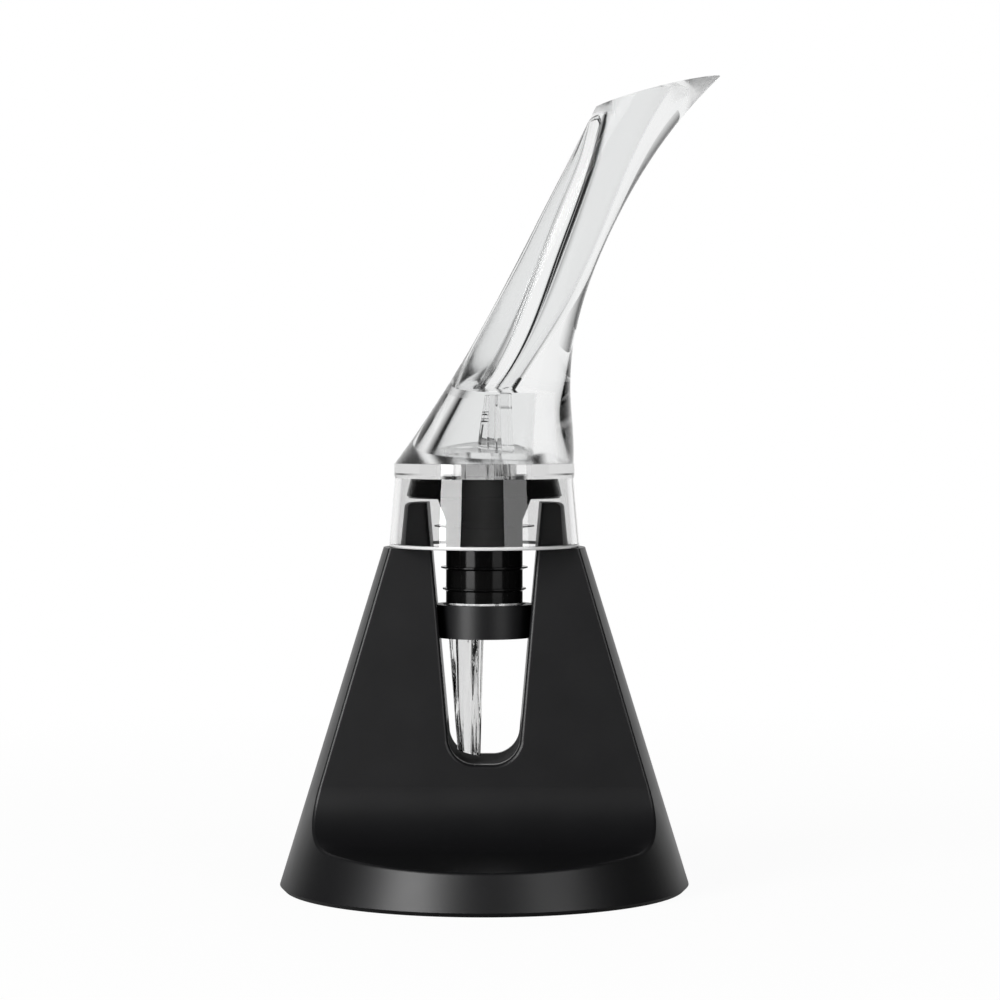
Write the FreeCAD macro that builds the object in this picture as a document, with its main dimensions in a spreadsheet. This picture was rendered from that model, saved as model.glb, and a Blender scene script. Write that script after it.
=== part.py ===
import FreeCAD, Part
import math
import os
import re

import Sketcher

# Wine aerator on its display stand, millimetres.
# The origin is on the stand's axis at the floor, +Z is up and +X is the way the spout leans.

SIZES = {
    # Stand, turned outside
    "foot_radius": 47.1,
    "foot_round": 1.0,
    "shoulder_height": 78.5,
    "shoulder_ledge": 1.3,
    "neck_rise": 10.3,
    "neck_gap": 0.8,
    "neck_taper": 0.9,
    "neck_round": 1.2,
    "stand_wall": 2.4,
    # Stand, flat faces at the front and the rear, as half depths and heights
    "face_top_depth": 7.2,
    "face_low_depth": 13.9,
    "face_low_height": 24.6,
    "face_sweep": 15.0,
    "ledge_depth": 27.3,
    "ledge_height": 11.2,
    "ledge_slope": 6.0,
    "face_edge_round": 0.8,
    "slot_edge_round": 0.9,
    # Stand, slot for the tube, and the ring across it
    "slot_lean": 5.04,
    "slot_floor_height": 29.6,
    "slot_corner": 6.2,
    "ring_clearance": 0.75,
    "ring_wall": 1.7,
    "ring_bite": 1.14,
    "ring_gap": 0.4,
    "ring_height": 7.6,
    # Skirt and its plate
    "plate_lap": 0.25,
    "plate_thickness": 3.4,
    "plate_round": 0.8,
    "skirt_top_radius": 20.5,
    "skirt_flare": 1.4,
    "skirt_drop": 15.9,
    "skirt_wall": 1.8,
    "rim_round": 0.5,
    # Rubber stopper
    "flange_thickness": 4.6,
    "flange_gap": 0.8,
    "flange_taper": 1.0,
    "flange_round": 0.5,
    "stopper_core_radius": 8.85,
    "stopper_length": 28.6,
    "cone_reach": 2.05,
    "cone_length": 5.2,
    "fin_thickness": 0.6,
    "fin_root": 0.3,
    "fin_one_drop": 11.0,
    "fin_one_reach": 2.65,
    "fin_two_drop": 20.5,
    "fin_two_reach": 1.15,
    "fin_three_drop": 25.4,
    "fin_three_reach": 0.75,
    # Stem, lip and air tube
    "rubber_wall": 1.45,
    "lip_thickness": 1.0,
    "port_wall": 0.6,
    "port_web": 2.8,
    "air_port_radius": 2.4,
    "tube_top_radius": 4.4,
    "tube_end_radius": 2.6,
    "tube_end_offset": 3.5,
    "tube_bore_end_radius": 1.7,
    "tube_end_gap": 0.7,
    "tube_cut_angle": 16.0,
    "running_fit": 0.1,
    # Spout, outside sections: rise over the plate, offset, half width, half depth.
    # The flare lies flare_lift over the middle between pipe and crown.
    "hip_rise": 7.4,
    "hip_offset": 2.55,
    "hip_half": 17.85,
    "hip_depth": 17.6,
    "waist_rise": 17.1,
    "waist_offset": 5.45,
    "waist_half": 14.35,
    "waist_depth": 13.6,
    "throat_rise": 30.0,
    "throat_offset": 9.9,
    "throat_half": 11.1,
    "throat_depth": 10.4,
    "pipe_rise": 50.9,
    "pipe_offset": 18.9,
    "pipe_half": 9.1,
    "pipe_depth": 8.4,
    "flare_lift": 1.95,
    "flare_offset": 31.1,
    "flare_half": 9.8,
    "flare_depth": 8.8,
    "crown_rise": 92.2,
    "crown_offset": 44.75,
    "crown_half": 13.25,
    "crown_depth": 10.6,
    # Spout, mouth: its rim starts and ends below the crown
    "mouth_back_offset": 26.1,
    "mouth_back_drop": 10.4,
    "mouth_tip_offset": 53.8,
    "mouth_tip_drop": 3.5,
    "mouth_bow": 250.0,
    # Spout, chamber and channels, which flare just below the outside
    "chamber_foot_half": 11.5,
    "chamber_rise": 15.5,
    "chamber_offset": 4.3,
    "chamber_half": 8.6,
    "channel_foot_rise": 14.5,
    "channel_low_rise": 25.6,
    "channel_mid_rise": 46.3,
    "channel_high_drop": 12.6,
    "channel_flare_drop": 0.3,
    "wine_foot_offset": 4.4,
    "wine_foot_radius": 1.9,
    "wine_low_offset": 10.0,
    "wine_low_radius": 1.95,
    "wine_mid_offset": 19.5,
    "wine_mid_radius": 3.7,
    "wine_high_offset": 25.5,
    "wine_high_radius": 4.0,
    "wine_flare_offset": 31.0,
    "wine_flare_radius": 4.7,
    "wine_crown_offset": 39.9,
    "wine_crown_half": 11.4,
    "wine_crown_depth": 9.3,
    "air_foot_offset": -1.6,
    "air_foot_radius": 2.7,
    "air_low_offset": 2.7,
    "air_low_radius": 4.0,
    "air_mid_offset": 12.2,
    "air_mid_radius": 2.4,
    "air_high_offset": 18.6,
    "air_high_radius": 1.7,
    "air_flare_offset": 24.2,
    "air_flare_radius": 0.9,
    "air_end_lift": 4.8,
    "air_end_offset": 25.3,
    "air_end_radius": 0.5,
    "bleed_length": 4.0,
    "bleed_tilt": 75.0,
    # Aerating core in the chamber
    "core_clearance": 1.0,
    "core_plate": 1.4,
    "core_gap": 0.4,
    "web_offset": 5.0,
    "web_thickness": 2.4,
    "web_half": 7.8,
    "window_half": 3.0,
    "window_drop": 4.0,
    "nozzle_offset": 2.2,
    "nozzle_foot_radius": 3.7,
    "nozzle_top_radius": 1.9,
    "nozzle_bore_radius": 0.9,
    "intake_radius": 0.45,
    "intake_height": 9.4,
    "intake_pitch": 1.7,
}

# What follows from the sizes, as formulas of the same sheet
FORMULAS = {
    # Heights
    "neck_height": "shoulder_height + neck_rise",
    "plate_base": "shoulder_height + skirt_drop",
    "plate_top": "plate_base + plate_thickness",
    "flange_base": "plate_base - flange_thickness",
    "stopper_end": "plate_base - stopper_length",
    "ring_base": "stopper_end - ring_gap - ring_height",
    "tube_end": "slot_floor_height + tube_end_gap",
    # Radii around the skirt
    "plate_radius": "skirt_top_radius + plate_lap",
    "spout_foot_half": "skirt_top_radius",
    "core_radius": "chamber_foot_half - core_clearance",
    "flare_rise": "(pipe_rise + crown_rise) / 2 + flare_lift",
    "mouth_back_rise": "crown_rise - mouth_back_drop",
    "mouth_tip_rise": "crown_rise - mouth_tip_drop",
    "channel_flare_rise": "flare_rise - channel_flare_drop",
    "channel_high_rise": "channel_flare_rise - channel_high_drop",
    "air_end_rise": "channel_flare_rise + air_end_lift",
    "skirt_rim_radius": "skirt_top_radius + skirt_flare",
    "shoulder_radius": "skirt_rim_radius + shoulder_ledge",
    "neck_radius": "skirt_rim_radius - skirt_wall - neck_gap",
    "neck_top_radius": "neck_radius - neck_taper",
    "flange_radius": "skirt_top_radius - skirt_wall - flange_gap",
    "flange_top_radius": "flange_radius - flange_taper",
    # Radii and offsets around the stopper's core
    "stopper_cone_radius": "stopper_core_radius + cone_reach",
    "ring_bore_radius": "stopper_core_radius + ring_clearance",
    "ring_radius": "ring_bore_radius + ring_wall",
    "stem_radius": "stopper_core_radius - rubber_wall",
    "air_offset": "stem_radius - port_wall - air_port_radius",
    "wine_port_radius": "stem_radius - port_wall - air_port_radius - port_web / 2",
    "wine_port_offset": "stem_radius - port_wall - wine_port_radius",
    # Half widths of the slot, whose leaning sides run past the ring and into its round corners
    "slot_top_half": "ring_radius - ring_bite + (neck_height - ring_base) * tan(slot_lean)",
    "slot_corner_height": "slot_floor_height + slot_corner",
    "slot_turn_half": "ring_radius - ring_bite - (ring_base - slot_corner_height) * tan(slot_lean)",
    "slot_floor_half": "slot_turn_half - slot_corner / cos(slot_lean)",
}

doc = FreeCAD.newDocument("wine_aerator")
sheet = doc.addObject("Spreadsheet::Sheet", "sizes")
for row, (alias, content) in enumerate([*SIZES.items(), *FORMULAS.items()], start=1):
    sheet.set(f"A{row}", alias)
    sheet.set(f"B{row}", f"={content}")
    sheet.setAlias(f"B{row}", alias)
doc.recompute()
NAMES = {*SIZES, *FORMULAS}


def bound(text):
    """Put the sheet's name in front of every size in an expression."""
    return re.sub(r"\b[a-z]\w*\b", lambda word: f"sizes.{word[0]}" if word[0] in NAMES else word[0], text)


def measure(text):
    """Give the number that an expression of the sheet's sizes comes to."""
    result = sheet.evalExpression(bound(text))
    return float(getattr(result, "Value", result))


def bind(thing, **properties):
    """Tie properties of an object to expressions of the sheet's sizes."""
    for name, text in properties.items():
        thing.setExpression(name, bound(text))
    return thing


def place(thing, along="0", across="0", up="0"):
    """Tie the position of an object to expressions of the sheet's sizes."""
    for axis, text in (("x", along), ("y", across), ("z", up)):
        thing.setExpression(f".Placement.Base.{axis}", bound(text))
    return thing


def plane_of(body, role):
    return next(plane for plane in body.Origin.OriginFeatures if plane.Role == role)


def arc_between(start, end, radius):
    """Arc of a signed radius between two points, bulging left of the way for a positive one."""
    chord = end - start
    half = chord.Length / 2
    left = FreeCAD.Vector(-chord.y, chord.x, 0).normalize()
    rise = abs(radius) - math.sqrt(radius * radius - half * half)
    middle = start + chord / 2 + left * math.copysign(rise, radius)
    return Part.Arc(start, middle, end)


def outline(body, name, role, corners):
    """Closed sketch through corners (along, up) or (along, up, radius of the side that follows)."""
    sketch = body.newObject("Sketcher::SketchObject", name)
    sketch.AttachmentSupport = [(plane_of(body, role), "")]
    sketch.MapMode = "FlatFace"
    points = [FreeCAD.Vector(measure(corner[0]), measure(corner[1]), 0) for corner in corners]
    ends = []
    for index, corner in enumerate(corners):
        start, end = points[index], points[(index + 1) % len(points)]
        if len(corner) == 3:
            side = sketch.addGeometry(arc_between(start, end, measure(corner[2])), False)
            swapped = (sketch.getPoint(side, 1) - start).Length > (sketch.getPoint(side, 2) - start).Length
            ends.append((side, 2, 1) if swapped else (side, 1, 2))
        else:
            ends.append((sketch.addGeometry(Part.LineSegment(start, end), False), 1, 2))
    for index, corner in enumerate(corners):
        side, first, last = ends[index]
        after, after_first, _ = ends[(index + 1) % len(ends)]
        sketch.addConstraint(Sketcher.Constraint("Coincident", side, last, after, after_first))
        for kind, text, axis in (("DistanceX", corner[0], -2), ("DistanceY", corner[1], -1)):
            if text == "0":
                sketch.addConstraint(Sketcher.Constraint("PointOnObject", side, first, axis))
                continue
            tie = sketch.addConstraint(Sketcher.Constraint(kind, -1, 1, side, first, measure(text)))
            sketch.setExpression(f"Constraints[{tie}]", bound(text))
        if len(corner) == 3:
            size = abs(measure(corner[2]))
            tie = sketch.addConstraint(Sketcher.Constraint("Radius", side, size))
            sketch.setExpression(f"Constraints[{tie}]", bound(f"abs({corner[2]})"))
    return sketch


def turned(body, name, corners):
    """Solid of revolution about Z from an outline in the XZ plane."""
    sketch = outline(body, name + "_profile", "XZ_Plane", corners)
    feature = body.newObject("PartDesign::Revolution", name)
    feature.Profile = sketch
    feature.ReferenceAxis = (sketch, ["V_Axis"])
    doc.recompute()
    return feature


def slotted(body, name, role, corners, width):
    """Cut an outline right through the body, half of the width to each side of its plane."""
    before = body.Shape.Volume
    sketch = outline(body, name + "_profile", role, corners)
    feature = body.newObject("PartDesign::Pocket", name)
    feature.Profile = sketch
    feature.SideType = "Symmetric"
    bind(feature, Length=width)
    doc.recompute()
    if body.Shape.Volume > before - 1:
        raise RuntimeError(f"{name} cuts nothing")
    return feature


def rounded(body, name, radius, chosen):
    """Round the edges that a test on their middle point and box picks."""
    tip = body.Tip
    names = [f"Edge{index}" for index, edge in enumerate(tip.Shape.Edges, start=1) if chosen(edge)]
    feature = body.newObject("PartDesign::Fillet", name)
    feature.Base = (tip, names)
    bind(feature, Radius=radius)
    doc.recompute()
    return feature


def part(kind, name, **properties):
    thing = doc.addObject(kind, name)
    return bind(thing, **properties)


def joined(kind, name, first, *others):
    """Boolean of one solid with others."""
    thing = doc.addObject(kind, name)
    if kind == "Part::Cut":
        thing.Base = first
        thing.Tool = others[0]
    else:
        thing.Shapes = [first, *others]
    return thing


def lofted(name, sections):
    """Smooth solid through level ellipses (height, offset, half width, half depth)."""
    rings = []
    for index, (height, offset, half, depth) in enumerate(sections):
        ring = part("Part::Ellipse", f"{name}_section_{index}", MajorRadius=half, MinorRadius=depth)
        rings.append(place(ring, along=offset, up=height))
    solid = doc.addObject("Part::Loft", name)
    solid.Sections = rings
    solid.Solid = True
    return solid


def face_corners(side, inset, top):
    """Outline of what a flat face takes off: side is 1 for the rear and -1 for the front."""
    sign = "" if side > 0 else "-"
    bulge = "-" if side > 0 else ""
    far = "2 * foot_radius"
    return [
        (f"{sign}(face_top_depth - {inset})", top),
        (f"{sign}(face_low_depth - {inset})", f"face_low_height - {inset}",
         f"{bulge}(face_sweep + {inset})"),
        (f"{sign}(ledge_depth - {inset} / 2)", f"ledge_height - {inset}"),
        (f"{sign}{far}", f"ledge_height - {inset} - ({far} - ledge_depth) * tan(ledge_slope)"),
        (f"{sign}{far}", top),
    ]


def slot_corners(growth):
    """U outline of the slot, wider by growth all round; its sides run on above the neck."""
    corner = f"(slot_corner + {growth})"
    rise = "(neck_height - slot_floor_height)"
    right = [
        (f"slot_top_half + {growth} * cos(slot_lean) + {rise} * tan(slot_lean)",
         f"neck_height + {rise} - {growth} * sin(slot_lean)"),
        (f"slot_floor_half + {corner} * cos(slot_lean)",
         f"slot_corner_height - {corner} * sin(slot_lean)", corner),
        ("slot_floor_half", f"slot_floor_height - {growth}"),
    ]
    left = [(f"-({side})", height) for side, height, *_ in reversed(right)]
    left[0] += (corner,)
    return right + left


def on_face_side(edge):
    """Long edges where a flat face or its sweep meets the cone, below the shoulder."""
    box = edge.BoundBox
    upright = box.ZMax < measure("shoulder_height + 1") and box.ZMin > measure("ledge_height - 1")
    return upright and box.ZLength > 5 and min(abs(box.XMin), abs(box.XMax)) > measure("slot_top_half")


def on_slot_rim(edge):
    """Edges where the slot breaks through a flat face."""
    box = edge.BoundBox
    inside = max(abs(box.XMin), abs(box.XMax)) < measure("(slot_top_half + neck_radius) / 2")
    return inside and box.YMin * box.YMax > 0 and box.ZMin < measure("shoulder_height")


def make_hollow():
    """Space inside the stand: the outside drawn in by the wall, parted by the slot's own walls."""
    body = doc.addObject("PartDesign::Body", "stand_hollow")
    lean = "(foot_radius - shoulder_radius) / shoulder_height"
    turned(body, "hollow_cone", [
        ("0", "-stand_wall"),
        (f"foot_radius - stand_wall + stand_wall * {lean}", "-stand_wall"),
        (f"shoulder_radius - stand_wall + stand_wall * {lean}", "shoulder_height - stand_wall"),
        ("0", "shoulder_height - stand_wall"),
    ])
    for side, word in ((1, "rear"), (-1, "front")):
        slotted(body, f"hollow_{word}", "YZ_Plane", face_corners(side, "stand_wall", "neck_height"),
                "4 * foot_radius")
    slotted(body, "hollow_slot", "XZ_Plane", slot_corners("stand_wall"), "4 * foot_radius")
    return body


def make_stand():
    """One black moulding: a cone with two swept faces, a slot, two horns and a ring across."""
    body = doc.addObject("PartDesign::Body", "stand")
    turned(body, "stand_cone", [
        ("0", "0"),
        ("foot_radius - foot_round", "0"),
        ("foot_radius", "foot_round"),
        ("shoulder_radius", "shoulder_height"),
        ("neck_radius", "shoulder_height"),
        ("neck_top_radius", "neck_height - neck_round", "-neck_round"),
        ("neck_top_radius - neck_round", "neck_height"),
        ("0", "neck_height"),
    ])
    for side, word in ((1, "rear"), (-1, "front")):
        slotted(body, f"stand_{word}_face", "YZ_Plane",
                face_corners(side, "0", "neck_height + stand_wall"), "4 * foot_radius")
    rounded(body, "face_edges", "face_edge_round", on_face_side)
    slotted(body, "stand_slot", "XZ_Plane", slot_corners("0"), "4 * foot_radius")
    rounded(body, "slot_edges", "slot_edge_round", on_slot_rim)
    boolean = body.newObject("PartDesign::Boolean", "stand_shell")
    boolean.Type = "Cut"
    boolean.setObjects([make_hollow()])
    doc.recompute()
    ring = body.newObject("Sketcher::SketchObject", "ring_profile")
    ring.AttachmentSupport = [(plane_of(body, "XY_Plane"), "")]
    ring.MapMode = "FlatFace"
    ring.setExpression(".AttachmentOffset.Base.z", bound("ring_base"))
    for radius in ("ring_bore_radius", "ring_radius"):
        circle = Part.Circle(FreeCAD.Vector(), FreeCAD.Vector(0, 0, 1), measure(radius))
        index = ring.addGeometry(circle, False)
        ring.addConstraint(Sketcher.Constraint("Coincident", index, 3, -1, 1))
        tie = ring.addConstraint(Sketcher.Constraint("Radius", index, measure(radius)))
        ring.setExpression(f"Constraints[{tie}]", bound(radius))
    pad = body.newObject("PartDesign::Pad", "stand_ring")
    pad.Profile = ring
    bind(pad, Length="ring_height")
    doc.recompute()
    return body


def make_skirt():
    """Clear plate with the skirt that hangs from it and stands on the shoulder."""
    body = doc.addObject("PartDesign::Body", "skirt_cup")
    turned(body, "skirt_turned", [
        ("stem_radius + running_fit", "plate_base"),
        ("stem_radius + running_fit", "plate_top"),
        ("plate_radius", "plate_top"),
        ("plate_radius", "plate_base + plate_round"),
        ("plate_radius - plate_round / 4", "plate_base"),
        ("skirt_rim_radius", "shoulder_height + rim_round", "rim_round"),
        ("skirt_rim_radius - rim_round", "shoulder_height"),
        ("skirt_rim_radius - skirt_wall", "shoulder_height"),
        ("skirt_top_radius - skirt_wall", "plate_base"),
    ])
    return body


def make_stopper():
    """Black rubber stopper: a flange, a cone and a core with three soft fins."""
    body = doc.addObject("PartDesign::Body", "stopper")
    corners = [
        ("stem_radius + running_fit", "stopper_end"),
        ("stem_radius + running_fit", "plate_base"),
        ("flange_top_radius", "plate_base"),
        ("flange_radius", "flange_base + flange_round", "-flange_round"),
        ("flange_radius - flange_round", "flange_base"),
        ("stopper_cone_radius", "flange_base"),
        ("stopper_core_radius", "flange_base - cone_length"),
    ]
    for word in ("one", "two", "three"):
        corners += [
            ("stopper_core_radius", f"plate_base - fin_{word}_drop + fin_thickness / 2"),
            (f"stopper_core_radius + fin_{word}_reach", f"plate_base - fin_{word}_drop + fin_thickness / 4"),
            (f"stopper_core_radius + fin_{word}_reach", f"plate_base - fin_{word}_drop - fin_thickness / 4"),
            ("stopper_core_radius", f"plate_base - fin_{word}_drop - fin_thickness / 2 - fin_root"),
        ]
    corners.append(("stopper_core_radius", "stopper_end"))
    turned(body, "stopper_turned", corners)
    return body


def make_stem():
    """Clear stem through the stopper: its lip holds the rubber on, and the air tube hangs from it."""
    stem = part("Part::Cylinder", "stem_rod", Radius="stem_radius",
                Height="plate_thickness + stopper_length + lip_thickness / 2")
    place(stem, up="stopper_end - lip_thickness / 2")
    lip = part("Part::Cylinder", "stem_lip", Radius="stopper_core_radius", Height="lip_thickness")
    place(lip, up="stopper_end - lip_thickness")
    tube = lofted("tube_outside", [
        ("tube_end", "-tube_end_offset", "tube_end_radius", "tube_end_radius"),
        ("stopper_end - lip_thickness / 2", "-air_offset", "tube_top_radius", "tube_top_radius"),
    ])
    solid = joined("Part::MultiFuse", "stem_solid", stem, lip, tube)
    bore = lofted("tube_bore", [
        ("tube_end", "-tube_end_offset", "tube_bore_end_radius", "tube_bore_end_radius"),
        ("stopper_end - lip_thickness / 2", "-air_offset", "air_port_radius", "air_port_radius"),
    ])
    air = part("Part::Cylinder", "air_port", Radius="air_port_radius",
               Height="2 * stopper_length")
    place(air, along="-air_offset", up="stopper_end - lip_thickness / 2")
    wine = part("Part::Cylinder", "wine_port", Radius="wine_port_radius", Height="2 * stopper_length")
    place(wine, along="wine_port_offset", up="stopper_end - 2 * lip_thickness")
    trim = doc.addObject("PartDesign::Body", "tube_trim")
    tip = "(tube_end_offset - tube_end_radius)"
    reach = "(4 * tube_top_radius)"
    sketch = outline(trim, "tube_trim_profile", "XZ_Plane", [
        (f"-{tip}", "tube_end"),
        (f"-{tip} - {reach}", f"tube_end + {reach} * tan(tube_cut_angle)"),
        (f"-{tip} - {reach}", f"tube_end - {reach}"),
        (f"-{tip}", f"tube_end - {reach}"),
    ])
    pad = trim.newObject("PartDesign::Pad", "tube_trim_pad")
    pad.Profile = sketch
    pad.SideType = "Symmetric"
    bind(pad, Length=reach)
    bores = joined("Part::MultiFuse", "stem_bores", bore, air, wine, trim)
    return joined("Part::Cut", "stem_tube", solid, bores)


def make_spout():
    """Clear spout: a leaning trumpet over a chamber, with a wine channel and an air channel."""
    top = "plate_top"
    outside = lofted("spout_outside", [
        (top, "0", "spout_foot_half", "spout_foot_half"),
        (f"{top} + hip_rise", "hip_offset", "hip_half", "hip_depth"),
        (f"{top} + waist_rise", "waist_offset", "waist_half", "waist_depth"),
        (f"{top} + throat_rise", "throat_offset", "throat_half", "throat_depth"),
        (f"{top} + pipe_rise", "pipe_offset", "pipe_half", "pipe_depth"),
        (f"{top} + flare_rise", "flare_offset", "flare_half", "flare_depth"),
        (f"{top} + crown_rise", "crown_offset", "crown_half", "crown_depth"),
    ])
    chamber = lofted("chamber", [
        (top, "0", "chamber_foot_half", "chamber_foot_half"),
        (f"{top} + chamber_rise", "chamber_offset", "chamber_half", "chamber_half"),
    ])
    wine, air = [
        [(f"{top} + channel_{stage}_rise", f"{name}_{stage}_offset", f"{name}_{stage}_radius",
          f"{name}_{stage}_radius") for stage in ("foot", "low", "mid", "high", "flare")]
        for name in ("wine", "air")
    ]
    wine.append((f"{top} + crown_rise", "wine_crown_offset", "wine_crown_half", "wine_crown_depth"))
    air.append((f"{top} + air_end_rise", "air_end_offset", "air_end_radius", "air_end_radius"))
    bleed = part("Part::Cylinder", "air_bleed", Radius="air_end_radius", Height="bleed_length")
    turn = FreeCAD.Rotation(FreeCAD.Vector(0, 1, 0), measure("bleed_tilt"))
    bleed.Placement = FreeCAD.Placement(FreeCAD.Vector(), turn)
    place(bleed, along="air_end_offset - air_end_radius", up=f"{top} + air_end_rise - air_end_radius")
    trim = doc.addObject("PartDesign::Body", "mouth_trim")
    sketch = outline(trim, "mouth_profile", "XZ_Plane", [
        ("mouth_back_offset", f"{top} + mouth_back_rise", "mouth_bow"),
        ("mouth_tip_offset", f"{top} + mouth_tip_rise"),
        ("2 * mouth_tip_offset", f"{top} + mouth_tip_rise"),
        ("2 * mouth_tip_offset", f"{top} + 2 * crown_rise"),
        ("-mouth_tip_offset", f"{top} + 2 * crown_rise"),
        ("-mouth_tip_offset", f"{top} + mouth_back_rise"),
    ])
    pad = trim.newObject("PartDesign::Pad", "mouth_pad")
    pad.Profile = sketch
    pad.SideType = "Symmetric"
    bind(pad, Length="4 * crown_half")
    inside = joined("Part::MultiFuse", "spout_inside", chamber, lofted("wine_channel", wine),
                    lofted("air_channel", air), bleed, trim)
    return joined("Part::Cut", "spout_body", outside, inside)


def make_core():
    """Clear insert in the chamber: a plate, a web across and the nozzle that draws the air in."""
    plate = part("Part::Cylinder", "core_disc", Radius="core_radius", Height="core_plate")
    place(plate, up="plate_top")
    web = part("Part::Box", "core_web", Length="web_thickness", Width="2 * web_half",
               Height="chamber_rise - core_gap")
    place(web, along="web_offset - web_thickness / 2", across="-web_half", up="plate_top")
    nozzle = part("Part::Cone", "core_nozzle", Radius1="nozzle_foot_radius",
                  Radius2="nozzle_top_radius", Height="chamber_rise - core_gap - window_drop / 4")
    place(nozzle, along="nozzle_offset", up="plate_top")
    solid = joined("Part::MultiFuse", "core_solid", plate, web, nozzle)
    window = part("Part::Box", "core_window", Length="2 * web_thickness", Width="2 * window_half",
                  Height="2 * window_drop")
    place(window, along="web_offset - web_thickness / 2", across="-window_half",
          up="plate_top + chamber_rise - core_gap - window_drop")
    bore = part("Part::Cylinder", "nozzle_bore", Radius="nozzle_bore_radius",
                Height="2 * chamber_rise")
    place(bore, along="nozzle_offset", up="plate_top - core_plate")
    air = part("Part::Cylinder", "core_air_port", Radius="air_port_radius - running_fit",
               Height="3 * core_plate")
    place(air, along="-air_offset", up="plate_top - core_plate")
    cutters = [window, bore, air]
    for index in range(2):
        intake = part("Part::Cylinder", f"intake_{index}", Radius="intake_radius",
                      Height="2 * nozzle_foot_radius")
        turn = FreeCAD.Rotation(FreeCAD.Vector(0, 1, 0), -90)
        intake.Placement = FreeCAD.Placement(FreeCAD.Vector(), turn)
        place(intake, along="nozzle_offset", up=f"plate_top + intake_height - {index} * intake_pitch")
        cutters.append(intake)
    holes = joined("Part::MultiFuse", "core_holes", *cutters)
    return joined("Part::Cut", "venturi_core", solid, holes)


def main():
    pieces = {
        "stand": make_stand(),
        "skirt_cup": make_skirt(),
        "stopper": make_stopper(),
        "stem_tube": make_stem(),
        "spout_body": make_spout(),
        "venturi_core": make_core(),
    }
    doc.recompute()
    for thing in doc.Objects:
        if "Invalid" in thing.State or "Error" in thing.State:
            raise RuntimeError(f"{thing.Name} did not build: {thing.State}")
    for name, piece in pieces.items():
        piece.Label = name
        if piece.Shape.isNull() or not piece.Shape.isValid() or len(piece.Shape.Solids) != 1:
            raise RuntimeError(f"{name} is not one sound solid: {len(piece.Shape.Solids)}")
    os.makedirs("parts", exist_ok=True)
    for name, piece in pieces.items():
        piece.Shape.exportStep(f"parts/{name}.step")
        box = piece.Shape.BoundBox
        print(f"{name}: {piece.Shape.Volume:.0f} mm3, x {box.XMin:.1f} to {box.XMax:.1f},"
              f" y {box.YMin:.1f} to {box.YMax:.1f}, z {box.ZMin:.1f} to {box.ZMax:.1f}")


main()
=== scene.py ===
import math

import bpy
import numpy as np
from mathutils import Matrix, Vector


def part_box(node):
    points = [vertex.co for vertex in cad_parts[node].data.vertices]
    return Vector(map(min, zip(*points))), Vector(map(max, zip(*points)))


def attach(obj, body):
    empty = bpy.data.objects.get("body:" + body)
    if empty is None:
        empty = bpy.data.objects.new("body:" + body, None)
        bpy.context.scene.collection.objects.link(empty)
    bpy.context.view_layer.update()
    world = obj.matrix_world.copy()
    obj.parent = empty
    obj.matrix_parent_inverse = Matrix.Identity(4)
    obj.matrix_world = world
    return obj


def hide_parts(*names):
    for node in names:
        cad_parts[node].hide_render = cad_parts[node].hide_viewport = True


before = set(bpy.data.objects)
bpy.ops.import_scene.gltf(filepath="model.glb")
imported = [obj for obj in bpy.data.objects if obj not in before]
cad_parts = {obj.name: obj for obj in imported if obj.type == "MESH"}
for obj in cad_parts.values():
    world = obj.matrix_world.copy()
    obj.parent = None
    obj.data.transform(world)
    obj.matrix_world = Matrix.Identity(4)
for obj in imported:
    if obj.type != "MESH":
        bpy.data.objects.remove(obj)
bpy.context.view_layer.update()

MM = 0.001

# Camera: a long lens level with the skirt, aimed at the middle of the photograph
VIEW_DISTANCE = 750 * MM
VIEW_HEIGHT = 110 * MM
AIM = Vector((3.6, 0, 89.3)) * MM
VIEW_WIDTH = 230.2 * MM
SENSOR = 36.0
NEAREST, FARTHEST = 0.01, 20

# World: the share of a direction that points to the back, with shares of its sides and its rise
# added, fades over FADE from DARK to white. For rays that come out of the clear plastic the front
# counts too, by FRONT_SHARE.
SIDE_SHARE = -0.2
TOP_SHARE = -0.05
FRONT_SHARE = 0.62
FADE = (0.35, 0.75)
DARK = 0.03

# Floor: half its side, how pale it is and how dark in reflections, how much of its white is its own
# near the object and away from it, and over what distance that grows
FLOOR_SIZE = 6.0
FLOOR_TONE = 0.9
FLOOR_DARK = 0.12
FLOOR_GLOW = (0.95, 1.0)
FLOOR_GLOW_REACH = (0.06, 0.45)
# Along Y: where the floor's own white sets in for reflections and through the clear plastic. The
# plastic also shows a strip in front, given by how far off its near end and its middle are.
FLOOR_BACK = (-0.05, 0.10)
FLOOR_FRONT = (0.05, 0.65)

# Lamps: name, place, width, height and power
LAMPS = [("key", (-0.67, -0.74, 0.30), 0.50, 0.80, 18),
         ("fill", (0.64, -0.77, 0.30), 0.56, 0.80, 5)]

# Clear plastic: its colour and how dense it is, and the tone and the clearness of a painted highlight on a
# thin rim
ACRYLIC_TINT = (0.88, 0.885, 0.885, 1)
ACRYLIC_TONE = 0.885
ACRYLIC_IOR = 1.49
EDGE_HIGHLIGHT_TONE = 0.6
EDGE_HIGHLIGHT_CLEAR = 0.15

# Heights over the ground, in mm: the skirt's open rim and its plate, and the stem with its lip; the rim and
# the lip carry painted highlights
RIM_FOOT, RIM_TOP = 78.5, 79.2
PLATE_FOOT, PLATE_TOP = 94.4, 97.9
STEM_FOOT, LIP_FOOT, LIP_TOP = 30.2, 65.2, 65.9

# How clear the skirt's plate is, whose upper face is bonded to the spout
PLATE_SHADE = 0.72

# Core: thin walls hardly bend the light. Its faces are drawn in by a hair, away from its neighbours'.
CORE_TONE = 0.95
CORE_IOR = 1.33
CORE_SHRINK = 0.03 * MM

# Low end of the stand's slot, which is matt, in mm: middle and half size
SLOT_END = ((0, 0, 34), (12, 11, 4.8))

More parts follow.
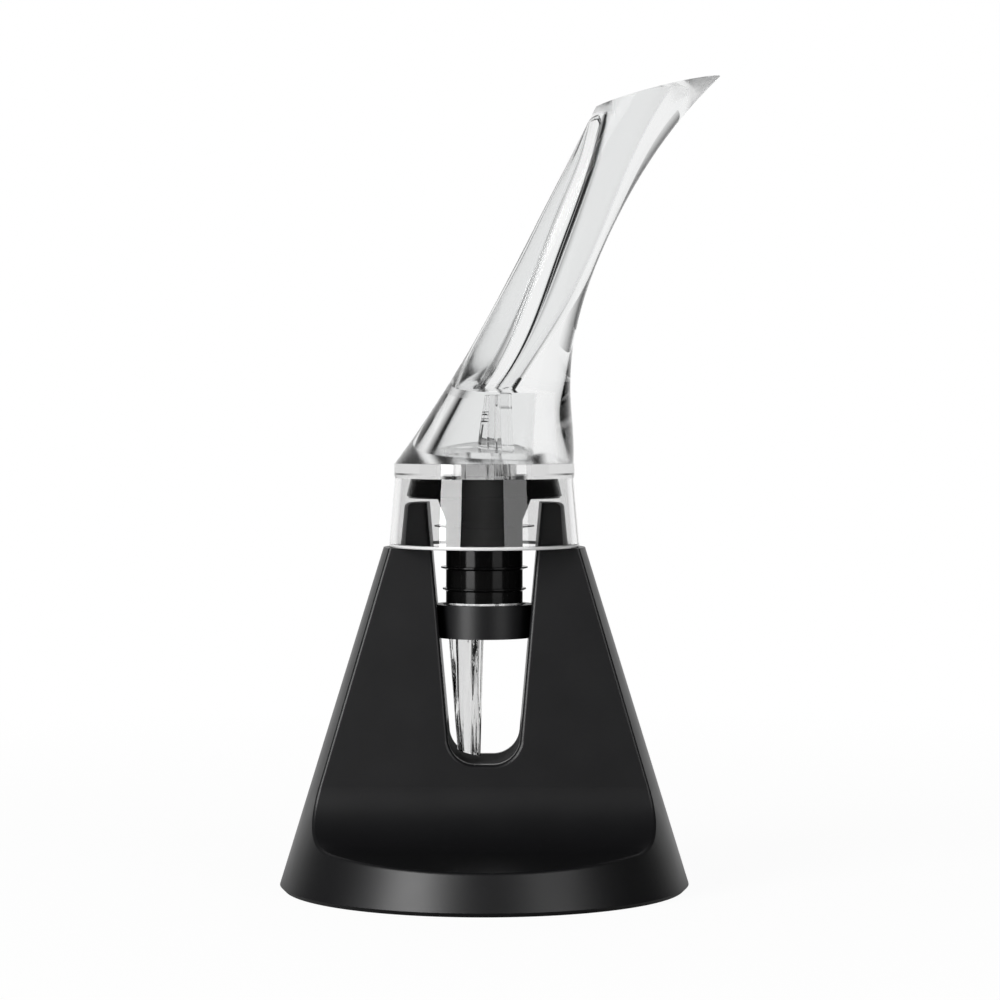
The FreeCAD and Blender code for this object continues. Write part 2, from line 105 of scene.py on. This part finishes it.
# Haze of the spout, in mm: from where, to where and how rough, along X at the tip and Z at the foot
TIP_HAZE = (45, 47.5, 0.5)
FOOT_HAZE = (103, 98, 0.16)
# Boxes of haze, in mm, at the mouth's back rim and the air channel's foot: middle, half size, roughness
HAZED_PLACES = [((26.4, 0, 180), (2.7, 12, 2.2), 0.3), ((-1.2, 0, 116), (5.5, 6, 4.5), 0.25)]
# How much of the lamps the spout's outside mirrors
SPOUT_SHINE = 0.1

STAND, SKIRT, STOPPER = "stand", "skirt_cup", "stopper"
STEM, SPOUT, CORE = "stem_tube", "spout_body", "venturi_core"


def make_camera():
    data = bpy.data.cameras.new("camera")
    camera = bpy.data.objects.new("camera", data)
    bpy.context.scene.collection.objects.link(camera)
    camera.location = (AIM.x, -VIEW_DISTANCE, VIEW_HEIGHT)
    way = AIM - camera.location
    camera.rotation_euler = way.to_track_quat("-Z", "Y").to_euler()
    data.sensor_width = SENSOR
    data.lens = SENSOR * way.length / VIEW_WIDTH
    data.clip_start = NEAREST
    data.clip_end = FARTHEST
    bpy.context.scene.camera = camera
    bpy.context.scene.view_settings.view_transform = "Standard"


class Nodes:
    """Short hand for building a node tree. Each value is a socket, or else a number or a vector."""

    def __init__(self, tree):
        self.tree = tree
        tree.nodes.clear()

    def feed(self, socket, value):
        if isinstance(value, bpy.types.NodeSocket):
            self.tree.links.new(value, socket)
        else:
            socket.default_value = value

    def add(self, kind, **settings):
        node = self.tree.nodes.new(kind)
        for name, value in settings.items():
            if hasattr(node, name):
                setattr(node, name, value)
            else:
                self.feed(node.inputs[name.replace("_", " ")], value)
        return node

    def math(self, operation, *values):
        node = self.add("ShaderNodeMath", operation=operation)
        for socket, value in zip(node.inputs, values):
            self.feed(socket, value)
        return node.outputs["Value"]

    def vector_math(self, operation, *values):
        node = self.add("ShaderNodeVectorMath", operation=operation)
        for socket, value in zip(node.inputs, values):
            self.feed(socket, value)
        return node.outputs["Value" if operation == "LENGTH" else "Vector"]

    def between(self, value, start, end, low=0.0, high=1.0):
        """Value brought from the span of start and end to that of low and high, and kept in it."""
        node = self.add("ShaderNodeMapRange", Value=value, From_Min=start, From_Max=end,
                        To_Min=low, To_Max=high)
        return node.outputs["Result"]

    def place(self):
        return self.add("ShaderNodeTexCoord").outputs["Object"]

    def split(self, vector):
        return self.add("ShaderNodeSeparateXYZ", Vector=vector).outputs

    def noise(self, scale, detail, stretch=None):
        """Noise over the object's own coordinates."""
        place = self.place()
        if stretch:
            place = self.add("ShaderNodeMapping", Vector=place, Scale=stretch).outputs["Vector"]
        return self.add("ShaderNodeTexNoise", Vector=place, Scale=scale, Detail=detail).outputs["Fac"]

    def blend(self, share, first, second):
        """Number between two others, by a share."""
        node = self.add("ShaderNodeMix", data_type="FLOAT", Factor=share, A=first, B=second)
        return node.outputs["Result"]

    def mix_shaders(self, share, first, second):
        node = self.add("ShaderNodeMixShader")
        for socket, value in zip(node.inputs, (share, first, second)):
            self.feed(socket, value)
        return node.outputs["Shader"]


def new_material(name, **settings):
    """Material with a Principled shader, which is given the settings by its sockets' names."""
    material = bpy.data.materials.new(name)
    material.use_nodes = True
    nodes = Nodes(material.node_tree)
    shader = nodes.add("ShaderNodeBsdfPrincipled", **settings)
    nodes.add("ShaderNodeOutputMaterial", Surface=shader.outputs["BSDF"])
    return material, nodes, shader


def roughen(nodes, shader, scale, detail, low, high):
    """Roughness that wanders between two values."""
    nodes.feed(shader.inputs["Roughness"], nodes.between(nodes.noise(scale, detail), 0, 1, low, high))


def bump(nodes, shader, height, strength, distance):
    node = nodes.add("ShaderNodeBump", Height=height, Strength=strength, Distance=distance)
    nodes.feed(shader.inputs["Normal"], node.outputs["Normal"])


def within_box(nodes, middle, half):
    """Socket that is 1 inside a box of the object's own coordinates, given in mm."""
    away = nodes.vector_math("SUBTRACT", nodes.place(), Vector(middle) * MM)
    share = nodes.vector_math("DIVIDE", away, Vector(half) * MM)
    sides = nodes.split(nodes.vector_math("ABSOLUTE", share))
    most = nodes.math("MAXIMUM", nodes.math("MAXIMUM", sides["X"], sides["Y"]), sides["Z"])
    return nodes.math("LESS_THAN", most, 1.0)


def banded(nodes, bands):
    """Value by height on the object: pairs of a height in mm and the value from there upwards."""
    start, end = bands[0][0], bands[-1][0]
    span = nodes.between(nodes.split(nodes.place())["Z"], start * MM, end * MM)
    node = nodes.add("ShaderNodeValToRGB", Fac=span)
    ramp = node.color_ramp
    ramp.interpolation = "CONSTANT"
    for height, _ in bands[1:-1]:
        ramp.elements.new((height - start) / (end - start))
    for stop, (_, value) in zip(ramp.elements, bands):
        stop.color = (value, value, value, 1)
    return node.outputs["Color"]


def black_plastic():
    """Satin moulded plastic with a fine spark-eroded grain, matt in the slot's low end."""
    material, nodes, shader = new_material("black_plastic", Base_Color=(0.004, 0.004, 0.0045, 1),
                                           IOR=1.5, Specular_IOR_Level=0.3)
    rough = nodes.between(nodes.noise(90, 3), 0, 1, 0.36, 0.44)
    nodes.feed(shader.inputs["Roughness"], nodes.math("MAXIMUM", rough, within_box(nodes, *SLOT_END)))
    bump(nodes, shader, nodes.noise(2600, 2), 0.12, 0.04 * MM)
    return material


def black_rubber():
    """Smooth moulded rubber with a soft shine."""
    material, nodes, shader = new_material("black_rubber", Base_Color=(0.003, 0.003, 0.003, 1),
                                           Specular_IOR_Level=0.09)
    roughen(nodes, shader, 160, 3, 0.11, 0.15)
    bump(nodes, shader, nodes.noise(900, 3), 0.10, 0.05 * MM)
    return material


def clear_acrylic(name, **settings):
    """Clear acrylic that still lacks its finish."""
    look = dict(Base_Color=ACRYLIC_TINT, IOR=ACRYLIC_IOR, Transmission_Weight=1.0)
    return new_material(name, **{**look, **settings})


def polish(nodes, shader):
    roughen(nodes, shader, 60, 2, 0.0, 0.02)


def waves(nodes, shader):
    """Faint waviness of a moulding."""
    bump(nodes, shader, nodes.noise(55, 1), 0.05, 0.4 * MM)


def skirt_acrylic():
    """Clear acrylic with a painted highlight on its open rim and with its plate tinted darker."""
    material, nodes, shader = clear_acrylic("skirt_acrylic")
    polish(nodes, shader)
    waves(nodes, shader)
    # Painted highlight: the open rim gets a pale tone and little clearness. The plate is tinted darker.
    tone = banded(nodes, [(RIM_FOOT, EDGE_HIGHLIGHT_TONE), (RIM_TOP, ACRYLIC_TONE),
                          (PLATE_FOOT, PLATE_SHADE), (PLATE_TOP, PLATE_SHADE)])
    nodes.feed(shader.inputs["Base Color"], tone)
    clear = banded(nodes, [(RIM_FOOT, EDGE_HIGHLIGHT_CLEAR), (RIM_TOP, 1.0), (PLATE_TOP, 1.0)])
    nodes.feed(shader.inputs["Transmission Weight"], clear)
    return material


def core_acrylic():
    """Clear acrylic of the little aerating core."""
    material, nodes, shader = clear_acrylic("core_acrylic", Base_Color=(CORE_TONE, CORE_TONE, CORE_TONE, 1),
                                            IOR=CORE_IOR)
    polish(nodes, shader)
    waves(nodes, shader)
    return material


def spout_acrylic():
    """Clear acrylic, hazed at the thin tip, towards the welded foot and in two small places."""
    material, nodes, shader = clear_acrylic("spout_acrylic",
                                            Specular_Tint=(SPOUT_SHINE, SPOUT_SHINE, SPOUT_SHINE, 1))
    spot = nodes.split(nodes.place())
    hazes = [nodes.between(spot[axis], start * MM, end * MM, 0.0, roughness)
             for axis, (start, end, roughness) in (("X", TIP_HAZE), ("Z", FOOT_HAZE))]
    hazes += [nodes.math("MULTIPLY", within_box(nodes, middle, half), roughness)
              for middle, half, roughness in HAZED_PLACES]
    rough = hazes[0]
    for haze in hazes[1:]:
        rough = nodes.math("MAXIMUM", rough, haze)
    nodes.feed(shader.inputs["Roughness"], rough)
    waves(nodes, shader)
    return material


def tube_acrylic():
    """Clear acrylic with the long streaks of a drawn core and a painted highlight on its lip."""
    material, nodes, shader = clear_acrylic("tube_acrylic")
    polish(nodes, shader)
    bump(nodes, shader, nodes.noise(620, 0, stretch=(1, 1, 0.06)), 0.8, 2 * MM)
    # Painted highlight: the lip gets a pale tone and little clearness.
    tone = banded(nodes, [(STEM_FOOT, ACRYLIC_TONE), (LIP_FOOT, EDGE_HIGHLIGHT_TONE), (LIP_TOP, ACRYLIC_TONE),
                          (PLATE_TOP, ACRYLIC_TONE)])
    nodes.feed(shader.inputs["Base Color"], tone)
    clear = banded(nodes, [(STEM_FOOT, 1.0), (LIP_FOOT, EDGE_HIGHLIGHT_CLEAR), (LIP_TOP, 1.0), (PLATE_TOP, 1.0)])
    nodes.feed(shader.inputs["Transmission Weight"], clear)
    return material


def pale_floor():
    """White floor: most of its white is its own, so that it keeps only a soft shadow.

    The camera sees that white everywhere, reflections only behind the object, and the clear plastic
    behind the object and in a strip in front. In reflections the rest of the floor is dark.
    """
    material, nodes, shader = new_material("pale_floor", Specular_IOR_Level=0.0)
    roughen(nodes, shader, 3, 2, 0.85, 0.95)
    rays = nodes.add("ShaderNodeLightPath").outputs
    tone = nodes.between(rays["Is Glossy Ray"], 0, 1, FLOOR_TONE, FLOOR_DARK)
    nodes.feed(shader.inputs["Base Color"], tone)
    place = nodes.place()
    depth = nodes.split(place)["Y"]
    near, middle = FLOOR_FRONT
    ahead = nodes.math("ABSOLUTE", nodes.math("ADD", depth, middle))
    strip = nodes.math("SUBTRACT", middle - near, ahead)
    depth = nodes.blend(rays["Is Transmission Ray"], depth, nodes.math("MAXIMUM", strip, depth))
    kept = nodes.math("MAXIMUM", rays["Is Camera Ray"], nodes.between(depth, *FLOOR_BACK))
    seen = nodes.math("MAXIMUM", nodes.math("MAXIMUM", rays["Is Camera Ray"], rays["Is Transmission Ray"]),
                      rays["Is Glossy Ray"])
    own = nodes.between(nodes.vector_math("LENGTH", place), *FLOOR_GLOW_REACH, *FLOOR_GLOW)
    share = nodes.math("MULTIPLY", nodes.math("MULTIPLY", seen, kept), own)
    glow = nodes.add("ShaderNodeEmission", Strength=1.0, Color=(1, 1, 1, 1)).outputs["Emission"]
    output = next(node for node in nodes.tree.nodes if node.type == "OUTPUT_MATERIAL")
    nodes.feed(output.inputs["Surface"], nodes.mix_shaders(share, shader.outputs["BSDF"], glow))
    return material


# Spout, in mm over the skirt's plate: rise, offset, half width, half depth, as in the CAD source,
# but with a hair of air under its foot, without which light leaks through the touching faces
OUTSIDE = [(0.05, 0, 20.5, 20.5), (7.4, 2.55, 17.85, 17.6), (17.1, 5.45, 14.35, 13.6),
           (30.0, 9.9, 11.1, 10.4), (50.9, 18.9, 9.1, 8.4), (73.5, 31.1, 9.8, 8.8),
           (92.2, 44.75, 13.25, 10.6)]
CHAMBER = [(0, 0, 11.5, 11.5), (15.5, 4.3, 8.6, 8.6)]
WINE = [(14.5, 4.4, 1.9, 1.9), (25.6, 10.0, 1.95, 1.95), (46.3, 19.5, 3.7, 3.7), (60.6, 25.5, 4.0, 4.0),
        (73.2, 31.0, 4.7, 4.7), (92.2, 39.9, 11.4, 9.3)]
AIR = [(14.5, -1.6, 2.7, 2.7), (25.6, 2.7, 4.0, 4.0), (46.3, 12.2, 2.4, 2.4), (60.6, 18.6, 1.7, 1.7),
       (73.2, 24.2, 0.9, 0.9), (78.0, 25.3, 0.5, 0.5)]
# Its mouth, in mm: offset and rise of the back and of the tip, and the radius of the bow between them
MOUTH_BACK, MOUTH_TIP, MOUTH_RADIUS = (26.1, 81.8), (53.8, 88.7), 250.0
MOUTH_STEPS = 49
# The block that cuts the mouth, in mm: its ends, its top and its half width
BLOCK_BACK, BLOCK_FRONT, BLOCK_TOP, BLOCK_HALF = -50, 100, 150, 30
# The hole from the air channel into the wine channel, in mm and degrees
BLEED_START = Vector((24.8, 0, 77.5))
BLEED_TILT = 75.0
BLEED_RADIUS = 0.5
BLEED_LENGTH = 4.0
BLEED_SIDES = 32
# Points around and rows along of each loft
OUTSIDE_MESH, CHAMBER_MESH, WINE_MESH, AIR_MESH = (160, 150), (144, 24), (112, 110), (216, 144)
SHARP_ANGLE = 28.0


def smooth_through(knots, stations):
    """Rows as a function of the parameter, on a cubic spline with no break at its end knots."""
    values = np.array(stations, float)
    count = len(knots)
    if count < 5:
        curves = np.polyfit(knots, values, count - 1)
        return lambda at: np.array([np.polyval(curve, at) for curve in curves.T]).T
    steps = np.diff(knots)
    slopes = np.diff(values, axis=0) / steps[:, None]
    left = np.zeros((count, count))
    right = np.zeros_like(values)
    for i in range(1, count - 1):
        left[i, i - 1:i + 2] = steps[i - 1], 2 * (steps[i - 1] + steps[i]), steps[i]
        right[i] = 6 * (slopes[i] - slopes[i - 1])
    left[0, :3] = -steps[1], steps[0] + steps[1], -steps[0]
    left[-1, -3:] = -steps[-1], steps[-2] + steps[-1], -steps[-2]
    bends = np.linalg.solve(left, right)

    def rows(at):
        i = np.clip(np.searchsorted(knots, at) - 1, 0, count - 2)
        span = steps[i][:, None]
        before, after = (knots[i + 1] - at)[:, None], (at - knots[i])[:, None]
        return ((bends[i] * before ** 3 + bends[i + 1] * after ** 3) / (6 * span)
                + (values[i] / span - bends[i] * span / 6) * before
                + (values[i + 1] / span - bends[i + 1] * span / 6) * after)
    return rows


def loft(name, stations, mesh_size, base):
    """Closed mesh through level ellipses, its rows spread along the side that leans out most."""
    around, along = mesh_size
    table = np.array(stations, float)
    side = np.column_stack((table[:, 0], table[:, 1] + table[:, 2]))
    knots = np.concatenate(([0], np.cumsum(np.linalg.norm(np.diff(side, axis=0), axis=1))))
    rows = smooth_through(knots, stations)(np.linspace(0, knots[-1], along))
    turn = np.linspace(0, 2 * math.pi, around, endpoint=False)
    places = []
    for rise, offset, half, depth in rows:
        ring = np.column_stack((offset + half * np.cos(turn), depth * np.sin(turn),
                                np.full(around, rise)))
        places.extend((ring * MM + (0, 0, base)).tolist())
    faces = [tuple(reversed(range(around))), tuple(range((along - 1) * around, along * around))]
    for row in range(along - 1):
        for i in range(around):
            j = (i + 1) % around
            low, high = row * around, (row + 1) * around
            faces.append((low + i, low + j, high + j, high + i))
    return solid(name, places, faces)


def solid(name, places, faces):
    mesh = bpy.data.meshes.new(name)
    mesh.from_pydata(places, [], faces)
    thing = bpy.data.objects.new(name, mesh)
    bpy.context.scene.collection.objects.link(thing)
    return thing


def mouth_cutter(base):
    """Block over the bowed surface of the spout's mouth."""
    back, tip = Vector(MOUTH_BACK), Vector(MOUTH_TIP)
    chord = tip - back
    left = Vector((-chord.y, chord.x)).normalized()
    middle = (back + tip) / 2 - left * math.sqrt(MOUTH_RADIUS ** 2 - (chord.length / 2) ** 2)
    start = math.atan2(back.y - middle.y, back.x - middle.x)
    end = math.atan2(tip.y - middle.y, tip.x - middle.x)
    profile = [middle + MOUTH_RADIUS * Vector((math.cos(a), math.sin(a)))
               for a in np.linspace(start, end, MOUTH_STEPS)]
    profile += [Vector(p) for p in ((BLOCK_FRONT, tip.y), (BLOCK_FRONT, BLOCK_TOP),
                                    (BLOCK_BACK, BLOCK_TOP), (BLOCK_BACK, back.y))]
    places = [(p.x * MM, side * BLOCK_HALF * MM, base + p.y * MM) for side in (-1, 1) for p in profile]
    count = len(profile)
    faces = [tuple(range(count)), tuple(reversed(range(count, 2 * count)))]
    faces += [(i, i + count, (i + 1) % count + count, (i + 1) % count) for i in range(count)]
    return solid("mouth_cutter", places, faces)


def bleed_cutter(base):
    """Rod for the hole through which the air channel opens into the wine channel."""
    turn = Matrix.Rotation(math.radians(BLEED_TILT), 3, "Y")
    rim = [Vector((math.cos(a), math.sin(a), 0)) * BLEED_RADIUS
           for a in np.linspace(0, 2 * math.pi, BLEED_SIDES + 1)[:-1]]
    places = [(turn @ (p + Vector((0, 0, up))) + BLEED_START) * MM + Vector((0, 0, base))
              for up in (0, BLEED_LENGTH) for p in rim]
    count = len(rim)
    faces = [tuple(reversed(range(count))), tuple(range(count, 2 * count))]
    faces += [(i, (i + 1) % count, (i + 1) % count + count, i + count) for i in range(count)]
    return solid("bleed", places, faces)


def make_spout(material):
    """The spout again as an even mesh: clear plastic shows the slivers of the CAD's triangles."""
    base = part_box(SPOUT)[0][2]
    spout = loft("spout", OUTSIDE, OUTSIDE_MESH, base)
    cutters = [
        loft("chamber", CHAMBER, CHAMBER_MESH, base),
        loft("wine", WINE, WINE_MESH, base),
        loft("air", AIR, AIR_MESH, base),
        bleed_cutter(base),
        mouth_cutter(base),
    ]
    for cutter in cutters:
        cut = spout.modifiers.new(cutter.name, "BOOLEAN")
        cut.operation = "DIFFERENCE"
        cut.solver = "EXACT"
        cut.object = cutter
    bpy.context.view_layer.update()
    graph = bpy.context.evaluated_depsgraph_get()
    spout.data = bpy.data.meshes.new_from_object(spout.evaluated_get(graph))
    spout.modifiers.clear()
    for cutter in cutters:
        bpy.data.objects.remove(cutter)
    spout.data.polygons.foreach_set("use_smooth", [True] * len(spout.data.polygons))
    spout.data.set_sharp_from_angle(angle=math.radians(SHARP_ANGLE))
    spout.data.materials.clear()
    spout.data.materials.append(material)
    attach(spout, "root")
    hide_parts(SPOUT)


def paint(node, material):
    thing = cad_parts[node]
    thing.data.materials.clear()
    thing.data.materials.append(material)


def shrink(thing, by):
    """Draw a clear piece's faces in by a hair, so that they don't coincide with its neighbour's."""
    displace = thing.modifiers.new("shrink", "DISPLACE")
    displace.strength = -by
    displace.mid_level = 0


def area_light(name, place, width, height, power):
    """Lamp that is seen in reflections but not through the clear plastic."""
    data = bpy.data.lights.new(name, "AREA")
    data.shape = "RECTANGLE"
    data.size = width
    data.size_y = height
    data.energy = power
    light = bpy.data.objects.new(name, data)
    bpy.context.scene.collection.objects.link(light)
    light.location = place
    light.rotation_euler = (AIM - Vector(place)).to_track_quat("-Z", "Y").to_euler()
    light.visible_camera = False
    light.visible_transmission = False


def make_floor():
    mesh = bpy.data.meshes.new("floor")
    corners = [(x * FLOOR_SIZE, y * FLOOR_SIZE, 0) for x, y in ((-1, -1), (1, -1), (1, 1), (-1, 1))]
    mesh.from_pydata(corners, [], [(0, 1, 2, 3)])
    floor = bpy.data.objects.new("floor", mesh)
    bpy.context.scene.collection.objects.link(floor)
    mesh.materials.append(pale_floor())


def make_world():
    """White to the camera. For all other rays it is white behind and dark in front and beside.

    Rays that come out of the clear plastic find the front pale too, so that it looks clear from
    every side.
    """
    world = bpy.data.worlds.new("studio")
    bpy.context.scene.world = world
    world.use_nodes = True
    nodes = Nodes(world.node_tree)
    rays = nodes.add("ShaderNodeLightPath").outputs
    way = nodes.add("ShaderNodeTexCoord").outputs["Generated"]
    points = nodes.split(way)
    spread = nodes.split(nodes.vector_math("ABSOLUTE", way))
    front = nodes.math("MULTIPLY", spread["Y"], FRONT_SHARE)
    depth = nodes.blend(rays["Is Transmission Ray"], points["Y"],
                        nodes.math("MAXIMUM", points["Y"], front))
    depth = nodes.math("MULTIPLY_ADD", spread["X"], SIDE_SHARE, depth)
    depth = nodes.math("MULTIPLY_ADD", points["Z"], TOP_SHARE, depth)
    strength = nodes.between(depth, *FADE, DARK, 1.0)
    room, white = (nodes.add("ShaderNodeBackground", Strength=light, Color=(1, 1, 1, 1))
                   for light in (strength, 1.0))
    seen = nodes.mix_shaders(rays["Is Camera Ray"], room.outputs["Background"],
                             white.outputs["Background"])
    nodes.add("ShaderNodeOutputWorld", Surface=seen)


def dress():
    paint(STAND, black_plastic())
    paint(STOPPER, black_rubber())
    paint(SKIRT, skirt_acrylic())
    paint(STEM, tube_acrylic())
    paint(CORE, core_acrylic())
    shrink(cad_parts[CORE], CORE_SHRINK)
    make_spout(spout_acrylic())


make_camera()
make_world()
make_floor()
for lamp in LAMPS:
    area_light(*lamp)
dress()
